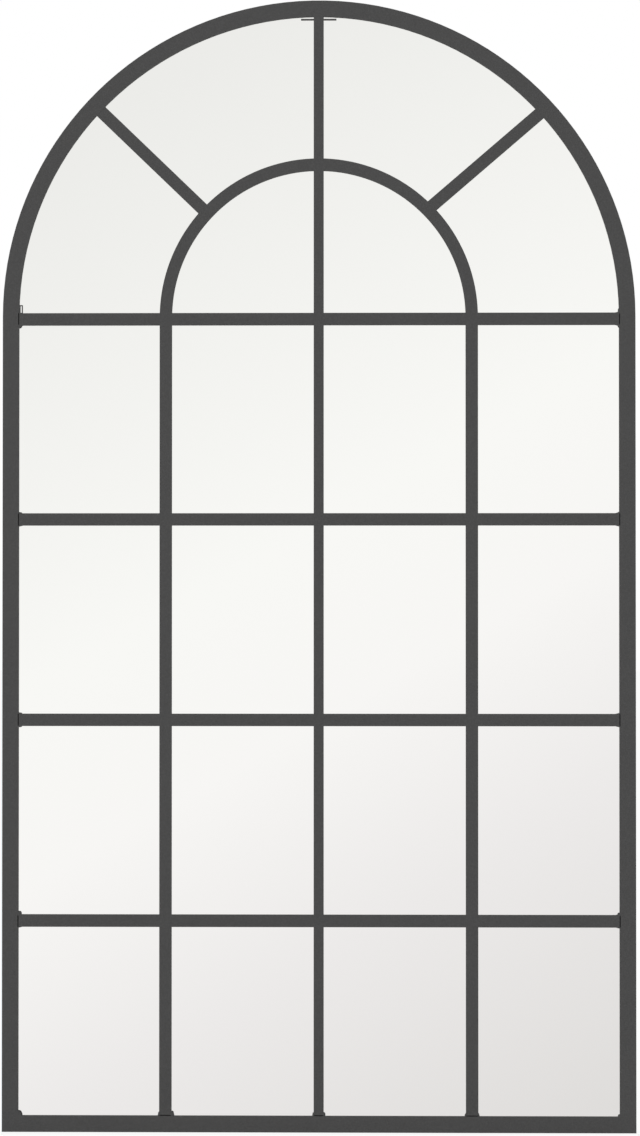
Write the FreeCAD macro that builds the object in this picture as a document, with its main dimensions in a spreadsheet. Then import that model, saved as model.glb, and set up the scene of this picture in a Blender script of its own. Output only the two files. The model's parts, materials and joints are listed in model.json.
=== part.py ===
import FreeCAD, Part
import math
import os
import Sketcher

# Arched window mirror, in millimetres.
# A frame of steel angle carries a grille of flat steel bars, flush with its face. One arched sheet of
# mirror glass stands behind the grille on rubber blocks, bedded on foam tape, and a hardboard back and
# bent steel tabs hold it in. It hangs on two D-rings, the only pieces that move.
# X runs to the viewer's right, Y away from the viewer into the wall, Z up. The origin is on the wall,
# under the middle of the bottom rail, so the mirror's face is frameDepth in front of it, at negative Y.

rowCount = 4            # rows of square panes under the arch
tabsPerStile = 4
tabsOnRail = 3
tabsOnArch = 5

sizeRows = [
    ("overallWidth", "1000", "outside width, and twice the arch's outer radius"),
    ("overallHeight", "1787.8", "outside height at the crown of the arch"),
    ("frameDepth", "25", "depth of the frame from its face to the wall"),
    ("frameFace", "26", "width of the frame's face"),
    ("steelWall", "2", "thickness of the frame's steel angle"),
    ("cornerRadius", "1", "rounding of the angle's outer corner"),
    ("barWidth", "19.5", "width of the transoms, side mullions, spokes and inner arch"),
    ("centreBarWidth", "15.8", "width of the middle mullion, which is a narrower bar"),
    ("barThickness", "2", "thickness of the grille's flat bars"),
    ("topTransomDrop", "4.8", "centre of the top transom below the centre of the arch"),
    ("mullionShift", "0.8", "how far the side mullions stand outside their places for equal panes"),
    ("innerArchDrop", "2", "centre of the inner arch below the centre of the frame's arch"),
    ("leftSpokeOuterAngle", "43.3", "where the left spoke meets the frame, in degrees above level"),
    ("leftSpokeInnerAngle", "43.1", "where the left spoke meets the inner arch"),
    ("rightSpokeOuterAngle", "42.5", "where the right spoke meets the frame"),
    ("rightSpokeInnerAngle", "44.5", "where the right spoke meets the inner arch"),
    ("seamWidth", "1.5", "open seam between a bar's end and the frame, in the stile or the mullion's foot"),
    ("seamDepth", "1.5", "depth of that seam from the face"),
    ("flareLength", "6", "length of the weld flare at a bar's end"),
    ("flareRise", "1.6", "how far the flare stands out beside the bar"),
    ("transomGap", "0.1", "gap for the weld between a transom's end and the stile"),
    ("topFootLength", "56", "length of the thin foot strip under the arch, across the middle mullion"),
    ("topFootHeight", "2", "height of that strip"),
    ("topFootDrop", "3.3", "gap between that strip and the crown of the opening"),
    ("sideFootWidth", "5", "width of the thin bracket on the top transom's left end"),
    ("sideFootHeight", "12.8", "height of that bracket above the transom"),
    ("sideFootWall", "1.4", "width of its two legs and of its head"),
    ("leftWeldLeg", "7", "leg of the weld in the lower left corner of the opening"),
    ("rightWeldLeg", "3.5", "leg of the weld in the lower right corner"),
    ("tapeThickness", "0.5", "foam tape that the glass is bedded on"),
    ("frameTapeWidth", "12", "width of the tape on the frame"),
    ("frameTapeInset", "8", "distance of that tape from the frame's outside"),
    ("barTapeWidth", "10", "width of the tape on the bars"),
    ("glassThickness", "4", "mirror glass"),
    ("glassClearance", "2", "gap between the glass and the frame's rim, filled below by the blocks"),
    ("blockLength", "80", "length of a rubber setting block"),
    ("boardThickness", "3", "hardboard back"),
    ("boardClearance", "3", "gap between the board and the frame's rim, at the sides and the arch"),
    ("tabWidth", "15", "width of a retaining tab"),
    ("tabThickness", "1.2", "thickness of a retaining tab"),
    ("tabReach", "14", "how far a tab reaches over the board"),
    ("tabUpstand", "9", "height of the leg that is welded to the rim"),
    ("tabClearance", "0.1", "gap between a flat tab and the curved or straight rim"),
    ("hangerDrop", "77", "pivots of the D-rings below the centre of the arch"),
    ("hangerInset", "28", "middle of a D-ring from the rim's inner face"),
    ("plateWidth", "48", "width of a hanger plate, from the rim inwards"),
    ("plateHeight", "62", "height of a hanger plate"),
    ("plateHead", "10", "how far a hanger plate reaches above the D-ring's pivot"),
    ("plateThickness", "3", "thickness of a hanger plate"),
    ("tailClearance", "0.5", "gap between the rivets' tails and the board"),
    ("plateChamfer", "8", "cut corners of a hanger plate"),
    ("strapWidth", "16", "width of the folded strap that holds a D-ring"),
    ("strapThickness", "1.5", "thickness of one leaf of that strap"),
    ("strapLength", "38", "length of the strap below the pivot"),
    ("ringWire", "4", "diameter of a D-ring's wire"),
    ("ringInnerWidth", "26", "clear width inside a D-ring"),
    ("ringArm", "7", "straight sides of a D-ring, from the pivot down"),
    ("ringCorner", "4", "bend of the wire at the ends of the D-ring's bar, on its centre line"),
    ("ringClearance", "0.08", "radial gap between the wire and the strap's curl"),
    ("ringRestClearance", "0.4", "gap between the hanging D-ring and the strap behind it"),
    ("rivetDiameter", "4.8", "shank of a hanger rivet"),
    ("rivetHeadDiameter", "9.5", "head of a rivet"),
    ("rivetHeadHeight", "1.4", "height of that head"),
    ("rivetTailDiameter", "7.2", "clenched tail of a rivet"),
    ("rivetTailHeight", "2", "height of that tail"),
    ("rivetClearance", "0.05", "radial gap between a rivet and its hole"),
    ("upperRivetDrop", "12", "upper rivet below the pivot"),
    ("rivetSpacing", "18", "distance between a strap's two rivets"),
]

derivedRows = [
    ("archRadius", "=Sizes.overallWidth / 2", "outer radius of the arch"),
    ("archCentre", "=Sizes.overallHeight - Sizes.overallWidth / 2", "height of the arch's centre"),
    ("rimInside", "=archRadius - Sizes.steelWall", "inner face of the rim, from the middle"),
    ("openingHalf", "=archRadius - Sizes.frameFace", "edge of the opening, from the middle"),
    ("faceBack", "=Sizes.steelWall - Sizes.frameDepth", "back of the frame's face leg"),
    ("barBack", "=Sizes.barThickness - Sizes.frameDepth", "back of the grille's bars"),
    ("glassFront", "=max(faceBack; barBack) + Sizes.tapeThickness", "face of the glass"),
    ("glassBack", "=glassFront + Sizes.glassThickness", "silvered back of the glass"),
    ("boardBack", "=glassBack + Sizes.boardThickness", "rear face of the backing board"),
    ("glassFoot", "=Sizes.steelWall + Sizes.glassClearance", "lower edge of the glass"),
    ("paneWidth", "=(2 * openingHalf - 2 * Sizes.barWidth - Sizes.centreBarWidth) / 4", "if all are alike"),
    ("equalOffset", "=(Sizes.centreBarWidth + Sizes.barWidth) / 2 + paneWidth", "side mullions, if so"),
    ("mullionOffset", "=equalOffset + Sizes.mullionShift", "side mullions' centres from the middle"),
    ("topTransom", "=archCentre - Sizes.topTransomDrop", "height of the top transom's centre"),
    ("rowPitch", f"=(topTransom + Sizes.barWidth / 2 - Sizes.frameFace) / {rowCount}", "pane and bar"),
    ("innerArchCentre", "=archCentre - Sizes.innerArchDrop", "height of the inner arch's centre"),
    ("fanFloor", "=topTransom + Sizes.barWidth / 2 - innerArchCentre", "transom's edge above that centre"),
    ("innerArchOuter", "=mullionOffset + Sizes.barWidth / 2", "outer radius of the inner arch"),
    ("innerArchInner", "=mullionOffset - Sizes.barWidth / 2", "inner radius of the inner arch"),
    ("pivotHeight", "=archCentre - Sizes.hangerDrop", "height of the D-rings' pivots"),
    ("plateFoot", "=pivotHeight + Sizes.plateHead - Sizes.plateHeight", "lower edge of a hanger plate"),
    ("plateFront", "=boardBack + Sizes.tailClearance + Sizes.rivetTailHeight", "front of that plate"),
    ("plateRear", "=plateFront + Sizes.plateThickness", "rear face of that plate"),
    ("wireRadius", "=Sizes.ringWire / 2", "radius of a D-ring's wire"),
    ("curlBore", "=wireRadius + Sizes.ringClearance", "bore of the strap's curl"),
    ("curlOuter", "=curlBore + Sizes.strapThickness", "outer radius of the curl"),
    ("pivotDepth", "=plateRear + curlOuter", "Y of the D-rings' pivots"),
    ("ringHalf", "=(Sizes.ringInnerWidth + Sizes.ringWire) / 2", "half the D-ring's width on its wire"),
    ("ringReach", "=Sizes.ringArm + ringHalf", "lowest point of the wire's centre below the pivot"),
    ("leafLift", "=2 * Sizes.strapThickness - curlOuter", "rear face of the strap's leaves from the pivot"),
    ("ringLean", "=leafLift + wireRadius + Sizes.ringRestClearance", "how far the hanging D-ring leans out"),
    ("ringTilt", "=asin(ringLean / ringReach)", "angle of that lean"),
]

document = FreeCAD.newDocument("ArchedWindowMirror")
nodes = []              # the finished sub-parts, in the order in which they are written


def addSheet(name, rows):
    """Put each value, its alias and its note on a row of a new sheet."""
    sheet = document.addObject("Spreadsheet::Sheet", name)
    for row, (alias, content, note) in enumerate(rows, start=1):
        sheet.set(f"A{row}", content)
        sheet.setAlias(f"A{row}", alias)
        sheet.set(f"B{row}", note)
    document.recompute()
    return sheet


addSheet("Sizes", sizeRows)
derived = addSheet("Derived", derivedRows)


def value(formula):
    """Work a formula out, to draw the first shape of a sketch near its constraints."""
    result = derived.evalExpression(formula)
    return float(getattr(result, "Value", result))


def titled(name):
    return name.title().replace("_", "")


def newBody(name):
    body = document.addObject("PartDesign::Body", name)
    body.Label = name
    return body


def newSketch(body, name, plane, offset=None):
    """Attach a sketch to one of the body's own planes, or at an offset along its normal."""
    sketch = body.newObject("Sketcher::SketchObject", name)
    support = next(feature for feature in body.Origin.OriginFeatures if feature.Role == plane)
    sketch.AttachmentSupport = [(support, "")]
    sketch.MapMode = "FlatFace"
    if offset:
        sketch.setExpression("AttachmentOffset.Base.z", offset)
    return sketch


def hold(sketch, geometry, point, across, up):
    """Fix a point of a sketch by its two coordinates; a coordinate of None stays free."""
    for direction, formula in (("DistanceX", across), ("DistanceY", up)):
        if formula is not None:
            distance = Sketcher.Constraint(direction, -1, 1, geometry, point, value(formula))
            number = sketch.addConstraint(distance)
            sketch.setExpression(f"Constraints[{number}]", formula)


def drawOutline(sketch, corners, arcs=None):
    """Close an outline through the corners, with straight runs and arcs.

    arcs gives, by the number of the corner that an arc starts from, its centre, the one coordinate
    of the centre that is held, and whether it turns anticlockwise.
    """
    arcs = arcs or {}
    count = len(corners)
    first = len(sketch.Geometry)
    places = [FreeCAD.Vector(value(across), value(up), 0) for across, up in corners]
    for i in range(count):
        start, end = places[i], places[(i + 1) % count]
        if i in arcs:
            centre = FreeCAD.Vector(value(arcs[i][0][0]), value(arcs[i][0][1]), 0)
            low, high = (start, end) if arcs[i][2] else (end, start)
            circle = Part.Circle(centre, FreeCAD.Vector(0, 0, 1), (start - centre).Length)
            angles = [math.atan2(place.y - centre.y, place.x - centre.x) for place in (low, high)]
            sketch.addGeometry(Part.ArcOfCircle(circle, *angles))
        else:
            sketch.addGeometry(Part.LineSegment(start, end))
    for i in range(count):
        after = (i + 1) % count
        startPoint = 1 if i not in arcs or arcs[i][2] else 2
        nextPoint = 1 if after not in arcs or arcs[after][2] else 2
        joint = Sketcher.Constraint("Coincident", first + i, 3 - startPoint, first + after, nextPoint)
        sketch.addConstraint(joint)
        hold(sketch, first + i, startPoint, *corners[i])
        if i in arcs:
            (centreAcross, centreUp), held, _ = arcs[i]
            hold(sketch, first + i, 3, centreAcross if held == "across" else None,
                 centreUp if held == "up" else None)


def drawCircle(sketch, across, up, radius):
    centre = FreeCAD.Vector(value(across), value(up), 0)
    circle = sketch.addGeometry(Part.Circle(centre, FreeCAD.Vector(0, 0, 1), value(radius)))
    hold(sketch, circle, 3, across, up)
    number = sketch.addConstraint(Sketcher.Constraint("Radius", circle, value(radius)))
    sketch.setExpression(f"Constraints[{number}]", radius)


def pad(body, sketch, length, symmetric=False):
    """Raise a sketch; one on the XZ plane rises towards the viewer."""
    feature = body.newObject("PartDesign::Pad", sketch.Name + "Pad")
    feature.Profile = sketch
    feature.setExpression("Length", length)
    if symmetric:
        feature.SideType = "Symmetric"
    return feature


def cutThrough(body, sketch):
    """Cut a sketch through the whole body, both ways."""
    feature = body.newObject("PartDesign::Pocket", sketch.Name + "Cut")
    feature.Profile = sketch
    feature.Type = "ThroughAll"
    feature.SideType = "Symmetric"
    return feature


def revolve(body, sketch, axis, angle, reverse=False):
    feature = body.newObject("PartDesign::Revolution", sketch.Name + "Turn")
    feature.Profile = sketch
    feature.ReferenceAxis = (sketch, [axis])
    feature.Angle = angle
    feature.Reversed = reverse
    return feature


def place(item, across=None, depth=None, up=None):
    """Bind an object's position to formulas."""
    for axis, formula in (("x", across), ("y", depth), ("z", up)):
        if formula is not None:
            item.setExpression(f"Placement.Base.{axis}", formula)


def turn(item, axis, formula):
    item.Placement.Rotation = FreeCAD.Rotation(FreeCAD.Vector(*axis), 1)
    item.setExpression("Placement.Rotation.Angle", formula)


def finished(item):
    nodes.append(item)
    return item


def group(name, members):
    """Keep like pieces as separate solids under one name."""
    compound = document.addObject("Part::Compound", name)
    compound.Label = name
    compound.Links = members
    return finished(compound)


# ---- frame of steel angle ----

def drawAngleProfile(sketch, outward, swapped=False):
    """Draw the L of the angle: its face in front, its rim at the outside, one rounded corner.

    outward turns a distance from the frame's outside into the sketch's coordinate.
    """
    front = "-Sizes.frameDepth"
    corners = [
        (outward("Sizes.cornerRadius"), front),
        (outward("Sizes.frameFace"), front),
        (outward("Sizes.frameFace"), "Derived.faceBack"),
        (outward("Sizes.steelWall"), "Derived.faceBack"),
        (outward("Sizes.steelWall"), "0"),
        (outward("0"), "0"),
        (outward("0"), f"{front} + Sizes.cornerRadius"),
    ]
    centre = (outward("Sizes.cornerRadius"), f"{front} + Sizes.cornerRadius")
    if swapped:
        corners = [(up, across) for across, up in corners]
        centre = (centre[1], centre[0])
    spans = [value(across) for across, _ in corners], [value(up) for _, up in corners]
    area = sum(spans[0][i - 1] * spans[1][i] - spans[0][i] * spans[1][i - 1] for i in range(7))
    drawOutline(sketch, corners, {6: (centre, "across", area > 0)})


def mitre(body, name, side, underSide):
    """Cut a frame member at 45 degrees through the lower corner on one side."""
    margin = "Sizes.frameDepth"
    outer = f"{side} * (Derived.archRadius + {margin})"
    inner = f"{side} * (Derived.openingHalf - {margin})"
    low, high = f"-{margin}", f"Sizes.frameFace + {margin}"
    third = (inner, low) if underSide else (outer, high)
    sketch = newSketch(body, name, "XZ_Plane")
    drawOutline(sketch, [(outer, low), (inner, high), third])
    return cutThrough(body, sketch)


def transomMiddle(number):
    """Height of a transom's middle line; the transoms are counted from the bottom."""
    return f"(Sizes.frameFace - Sizes.barWidth / 2 + {number} * Derived.rowPitch)"


def cutSeams(body, name, seams):
    """Cut open seams into the frame's face beside bars' ends: the side, foot and head of each."""
    sketch = newSketch(body, name, "XZ_Plane", "Sizes.frameDepth")
    for side, foot, head in seams:
        inner = f"{side} * (Derived.openingHalf - Sizes.seamWidth)"
        outer = f"{side} * (Derived.openingHalf + Sizes.seamWidth)"
        drawOutline(sketch, [(inner, foot), (outer, foot), (outer, head), (inner, head)])
    feature = body.newObject("PartDesign::Pocket", name + "Cut")
    feature.Profile = sketch
    feature.setExpression("Length", "Sizes.seamDepth")
    return feature


def makeFrameArch():
    """The top transom's ends reach past the stiles, so the arch's feet hold the rest of their seams."""
    body = newBody("frame_arch")
    sketch = newSketch(body, "ArchProfile", "XY_Plane")
    drawAngleProfile(sketch, lambda inward: f"Derived.archRadius - {inward}")
    revolve(body, sketch, "V_Axis", 180, reverse=True)
    foot, head = "-Sizes.barWidth / 2 - Sizes.topTransomDrop", "Sizes.barWidth / 2 - Sizes.topTransomDrop"
    cutSeams(body, "ArchSeams", [(-1, foot, head), (1, foot, head)])
    place(body, up="Derived.archCentre")
    return finished(body)


def makeFrameStile(name, side):
    body = newBody(name)
    sketch = newSketch(body, titled(name) + "Profile", "XY_Plane")
    drawAngleProfile(sketch, lambda inward: f"{side} * (Derived.archRadius - {inward})")
    pad(body, sketch, "Derived.archCentre")
    mitre(body, titled(name) + "Mitre", side, underSide=True)
    cutSeams(body, titled(name) + "Seams", [
        (side, f"{middle} - Sizes.barWidth / 2", f"{middle} + Sizes.barWidth / 2")
        for middle in map(transomMiddle, range(1, rowCount + 1))])
    return finished(body)


def makeBottomRail():
    body = newBody("frame_bottom_rail")
    sketch = newSketch(body, "RailProfile", "YZ_Plane")
    drawAngleProfile(sketch, lambda inward: inward, swapped=True)
    pad(body, sketch, "Sizes.overallWidth", symmetric=True)
    mitre(body, "RailMitreLeft", -1, underSide=False)
    mitre(body, "RailMitreRight", 1, underSide=False)
    return finished(body)


# ---- grille of flat bars, and the foam tape behind each of them ----

barTapes = []


def drawBar(sketch, width, start, end, upright, flares, trim):
    """Draw a bar along its length; trim shortens the ends that carry a weld flare."""
    half = f"({width}) / 2"
    flare = f"({half} + Sizes.flareRise * (1 - {trim} / Sizes.flareLength))"
    side = [(start, half), (end, half)]
    if "start" in flares:
        side[:1] = [(f"{start} + {trim}", flare), (f"{start} + Sizes.flareLength", half)]
    if "end" in flares:
        side[-1:] = [(f"{end} - Sizes.flareLength", half), (f"{end} - {trim}", flare)]
    corners = [(along, f"-{across}") for along, across in side] + side[::-1]
    if upright:
        corners = [(across, along) for along, across in corners]
    drawOutline(sketch, corners)


def makeBar(name, width, start, end, upright=False, flares=(), seam=False):
    """A flat bar, with a weld flare where an end meets the frame, and there a seam in its face if asked."""
    body = newBody(name)
    layers = [("Whole", "0", "Sizes.barThickness", None)]
    if seam:
        root = "Sizes.barThickness - Sizes.seamDepth"
        layers = [("Root", "0", root, None), ("Face", "Sizes.seamWidth", "Sizes.seamDepth", root)]
    for layer, trim, thickness, offset in layers:
        sketch = newSketch(body, titled(name) + layer, "XZ_Plane", offset)
        drawBar(sketch, width, start, end, upright, flares, trim)
        pad(body, sketch, thickness)
    place(body, depth="Derived.barBack")
    return finished(body)


def addTape(name, length, height, across, up, back="Derived.glassFront", front="Derived.barBack"):
    """A straight strip of foam tape, from its lower left corner."""
    tape = document.addObject("Part::Box", titled(name))
    tape.setExpression("Length", length)
    tape.setExpression("Height", height)
    tape.setExpression("Width", f"{back} - {front}")
    place(tape, across, front, up)
    return tape


def makeTransom(number):
    """Transoms run from stile to stile, which hold the seams at their ends."""
    middle = transomMiddle(number)
    half = "(Derived.openingHalf - Sizes.transomGap)"
    body = makeBar(f"transom_{number}", "Sizes.barWidth", f"-{half}", half, flares=("start", "end"))
    place(body, up=middle)
    barTapes.append(addTape(f"transom_{number}_tape", f"2 * {half}", "Sizes.barTapeWidth",
                            f"-{half}", f"{middle} - Sizes.barTapeWidth / 2"))


def makeMullion(name, offset, width, row):
    """One row's length of a mullion, on the bottom rail or between two transoms."""
    foot = f"Sizes.frameFace + {row - 1} * Derived.rowPitch"
    length = "(Derived.rowPitch - Sizes.barWidth)"
    footed = row == 1
    body = makeBar(f"{name}_{row}", width, "0", length, True, ("start",) if footed else (), seam=footed)
    place(body, across=offset, up=foot)
    barTapes.append(addTape(f"{name}_{row}_tape", "Sizes.barTapeWidth", length,
                            f"{offset} - Sizes.barTapeWidth / 2", foot))


def makeArcBand(name, outer, inner, centre, floor, back, thickness):
    """A flat half ring, cut off level at its two ends, floor above its centre."""
    body = newBody(name)
    sketch = newSketch(body, titled(name) + "Band", "XZ_Plane")
    wide, narrow = (f"sqrt(({radius})^2 - ({floor})^2)" for radius in (outer, inner))
    corners = [(wide, floor), (f"-{wide}", floor), (f"-{narrow}", floor), (narrow, floor)]
    drawOutline(sketch, corners, {0: (("0", "0"), "up", True), 2: (("0", "0"), "up", False)})
    pad(body, sketch, thickness)
    place(body, depth=back, up=centre)
    return body


def makeInnerArch():
    centre, floor = "Derived.innerArchCentre", "Derived.fanFloor"
    finished(makeArcBand("inner_arch", "Derived.innerArchOuter", "Derived.innerArchInner",
                         centre, floor, "Derived.barBack", "Sizes.barThickness"))
    barTapes.append(makeArcBand(
        "inner_arch_tape", "(Derived.mullionOffset + Sizes.barTapeWidth / 2)",
        "(Derived.mullionOffset - Sizes.barTapeWidth / 2)", centre, floor,
        "Derived.glassFront", "Derived.glassFront - Derived.barBack"))


def makeCentreQuadrant():
    """The middle mullion's short length between the top transom and the inner arch."""
    body = newBody("centre_mullion_quadrant")
    sketch = newSketch(body, "CentreQuadrantOutline", "XZ_Plane")
    half = "Sizes.centreBarWidth / 2"
    top = f"sqrt(Derived.innerArchInner^2 - ({half})^2)"
    corners = [(f"-{half}", "Derived.fanFloor"), (half, "Derived.fanFloor"), (half, top), (f"-{half}", top)]
    drawOutline(sketch, corners, {2: (("0", "0"), "up", True)})
    pad(body, sketch, "Sizes.barThickness")
    place(body, depth="Derived.barBack", up="Derived.innerArchCentre")
    finished(body)
    length = "Derived.innerArchInner - Derived.fanFloor - Sizes.barTapeWidth / 2"
    barTapes.append(addTape("centre_quadrant_tape", "Sizes.barTapeWidth", length,
                            "-Sizes.barTapeWidth / 2", "Derived.innerArchCentre + Derived.fanFloor"))


def trimBetweenArches(name, width, inner, outer, tilt, back, thickness):
    """A bar of the fan between the two arches, with its ends cut to follow them.

    inner and outer are the ends of its middle line, measured from the outer arch's centre.
    """
    spare = "Sizes.barWidth"
    length = f"sqrt(({outer[0]} - {inner[0]})^2 + ({outer[1]} - {inner[1]})^2)"
    blank = document.addObject("Part::Box", name + "Blank")
    blank.setExpression("Length", f"{length} + 2 * {spare}")
    blank.setExpression("Width", thickness)
    blank.setExpression("Height", width)
    turn(blank, (0, 1, 0), f"-({tilt})")
    place(blank, f"{inner[0]} - {spare} * cos({tilt}) + ({width}) / 2 * sin({tilt})",
          f"{back} - ({thickness})",
          f"Derived.archCentre + {inner[1]} - {spare} * sin({tilt}) - ({width}) / 2 * cos({tilt})")
    discs = []
    for label, radius, centre in (("Outside", "Derived.openingHalf", "Derived.archCentre"),
                                  ("Inside", "Derived.innerArchOuter", "Derived.innerArchCentre")):
        disc = document.addObject("Part::Cylinder", name + label)
        disc.setExpression("Radius", radius)
        disc.setExpression("Height", f"{thickness} + 2 * {spare}")
        disc.Placement.Rotation = FreeCAD.Rotation(FreeCAD.Vector(1, 0, 0), 90)
        place(disc, depth=f"{back} + {spare}", up=centre)
        discs.append(disc)
    within = document.addObject("Part::Common", name + "Within")
    within.Base, within.Tool = blank, discs[0]
    bar = document.addObject("Part::Cut", name)
    bar.Base, bar.Tool = within, discs[1]
    return bar


def makeFanBar(name, width, side, innerAngle, outerAngle):
    """A bar that runs from the inner arch out to the frame, and the tape behind it."""
    inner = (f"({side} * Derived.innerArchOuter * cos({innerAngle}))",
             f"(Derived.innerArchOuter * sin({innerAngle}) - Sizes.innerArchDrop)")
    outer = (f"({side} * Derived.openingHalf * cos({outerAngle}))",
             f"(Derived.openingHalf * sin({outerAngle}))")
    tilt = f"atan2({outer[1]} - {inner[1]}; {outer[0]} - {inner[0]})"
    bar = trimBetweenArches(titled(name), width, inner, outer, tilt,
                            "Derived.barBack", "Sizes.barThickness")
    bar.Label = name
    finished(bar)
    barTapes.append(trimBetweenArches(titled(name) + "Tape", "Sizes.barTapeWidth", inner, outer, tilt,
                                      "Derived.glassFront", "Derived.glassFront - Derived.barBack"))


def makeTopFootStrips():
    """A thin straight foot on either side of the middle mullion, just under the arch."""
    strips = []
    half = "Sizes.centreBarWidth / 2"
    length = f"(Sizes.topFootLength / 2 - {half})"
    for side, start in (("Left", f"-{half} - {length}"), ("Right", half)):
        strip = document.addObject("Part::Box", "TopFoot" + side)
        strip.setExpression("Length", length)
        strip.setExpression("Width", "Sizes.barThickness")
        strip.setExpression("Height", "Sizes.topFootHeight")
        place(strip, start, "-Sizes.frameDepth",
              "Derived.archCentre + Derived.openingHalf - Sizes.topFootDrop - Sizes.topFootHeight")
        strips.append(strip)
    group("top_foot_strips", strips)


def makeSideFoot():
    """A thin bracket, an upturned U, between the top transom's left end and the arch."""
    body = newBody("side_foot")
    sketch = newSketch(body, "SideFootOutline", "XZ_Plane")
    width, head, wall = "Sizes.sideFootWidth", "Sizes.sideFootHeight", "Sizes.sideFootWall"
    floors = [f"Sizes.flareRise * max(0; 1 - ({along}) / Sizes.flareLength) + Sizes.transomGap"
              for along in ("0", f"{width} - {wall}")]
    drawOutline(sketch, [("0", floors[0]), (wall, floors[0]), (wall, f"{head} - {wall}"),
                         (f"{width} - {wall}", f"{head} - {wall}"), (f"{width} - {wall}", floors[1]),
                         (width, floors[1]), (width, head), ("0", head)])
    pad(body, sketch, "Sizes.barThickness")
    foot = "Derived.topTransom + Sizes.barWidth / 2"
    rise = f"({foot} + {head} - Derived.archCentre)"
    place(body, f"Sizes.transomGap - sqrt(Derived.openingHalf^2 - {rise}^2)", "Derived.barBack", foot)
    finished(body)


def makeCornerWelds():
    """Small three-cornered welds in the lower corners of the frame's opening."""
    welds = []
    for label, side, leg in (("Left", -1, "Sizes.leftWeldLeg"), ("Right", 1, "Sizes.rightWeldLeg")):
        body = newBody("CornerWeld" + label)
        sketch = newSketch(body, "CornerWeldOutline" + label, "XZ_Plane")
        corner = f"{side} * Derived.openingHalf"
        drawOutline(sketch, [(corner, "Sizes.frameFace"),
                             (f"{side} * (Derived.openingHalf - {leg})", "Sizes.frameFace"),
                             (corner, f"Sizes.frameFace + {leg}")])
        pad(body, sketch, "Sizes.steelWall")
        place(body, depth="Derived.faceBack")
        welds.append(body)
    group("corner_welds", welds)


# ---- glass, its bedding and the back ----

def makeFrameTapes():
    """Foam tape all round on the back of the frame's face: the arch, two sides and the foot."""
    inset, width = "Sizes.frameTapeInset", "Sizes.frameTapeWidth"
    outside = f"(Derived.archRadius - {inset})"
    tapes = [makeArcBand("frame_arch_tape", outside, f"({outside} - {width})", "Derived.archCentre", "0",
                         "Derived.glassFront", "Derived.glassFront - Derived.faceBack")]
    front = "Derived.faceBack"
    for name, start in (("left", f"-{outside}"), ("right", f"{outside} - {width}")):
        tapes.append(addTape(f"frame_{name}_tape", width, f"Derived.archCentre - {inset}",
                             start, inset, front=front))
    tapes.append(addTape("frame_foot_tape", f"2 * ({outside} - {width})", width,
                         f"{width} - {outside}", inset, front=front))
    group("frame_tapes", tapes)


def makeArchedPanel(name, halfWidth, back, thickness):
    """A sheet with a half-round head that stands on the setting blocks."""
    body = newBody(name)
    sketch = newSketch(body, titled(name) + "Outline", "XZ_Plane")
    corners = [(f"-{halfWidth}", "Derived.glassFoot"), (halfWidth, "Derived.glassFoot"),
               (halfWidth, "Derived.archCentre"), (f"-{halfWidth}", "Derived.archCentre")]
    drawOutline(sketch, corners, {2: (("0", "Derived.archCentre"), "up", True)})
    pad(body, sketch, thickness)
    place(body, depth=back)
    return finished(body)


def makeSettingBlocks():
    """Two rubber blocks on the bottom rail, at the quarter points, that carry the glass."""
    blocks = []
    for name, side in (("Left", -1), ("Right", 1)):
        block = document.addObject("Part::Box", "SettingBlock" + name)
        block.setExpression("Length", "Sizes.blockLength")
        block.setExpression("Width", "Derived.boardBack - Derived.glassFront")
        block.setExpression("Height", "Sizes.glassClearance")
        place(block, f"{side} * Derived.archRadius / 2 - Sizes.blockLength / 2",
              "Derived.glassFront", "Sizes.steelWall")
        blocks.append(block)
    group("setting_blocks", blocks)


def makeRetainingTabs():
    """Bent steel tabs round the rim: one leg welded to it, the other over the board."""
    pattern = newBody("TabPattern")
    sketch = newSketch(pattern, "TabProfile", "XY_Plane")
    thick = "Sizes.tabThickness"
    drawOutline(sketch, [("0", "0"), ("Sizes.tabReach", "0"), ("Sizes.tabReach", thick),
                         (thick, thick), (thick, "Sizes.tabUpstand"), ("0", "Sizes.tabUpstand")])
    pad(pattern, sketch, "Sizes.tabWidth", symmetric=True)
    seats = []
    rim = "(Derived.rimInside - Sizes.tabClearance)"
    for i in range(tabsPerStile):
        height = f"Derived.plateFoot * {i + 0.5} / {tabsPerStile}"
        seats += [(f"-{rim}", height, "0"), (rim, height, "180")]
    for i in range(tabsOnRail):
        across = f"Derived.openingHalf * {2 * (i + 0.5) / tabsOnRail - 1}"
        seats.append((across, "Sizes.steelWall + Sizes.tabClearance", "-90"))
    for i in range(tabsOnArch):
        angle = 180 * (i + 0.5) / tabsOnArch
        chord = "(sqrt(Derived.rimInside^2 - (Sizes.tabWidth / 2)^2) - Sizes.tabClearance)"
        seats.append((f"{chord} * cos({angle})", f"Derived.archCentre + {chord} * sin({angle})",
                      f"{-180 - angle}"))
    tabs = []
    for number, (across, up, angle) in enumerate(seats, start=1):
        tab = document.addObject("App::Link", f"Tab{number}")
        tab.LinkedObject = pattern
        turn(tab, (0, 1, 0), angle)
        place(tab, across, "Derived.boardBack", up)
        tabs.append(tab)
    group("retaining_tabs", tabs)


# ---- hangers ----

rivetDrops = ("Sizes.upperRivetDrop", "Sizes.upperRivetDrop + Sizes.rivetSpacing")
rivetBore = "Sizes.rivetDiameter / 2 + Sizes.rivetClearance"


def hangerPlace(side):
    return f"{side} * (Derived.rimInside - Sizes.hangerInset)"


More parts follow.
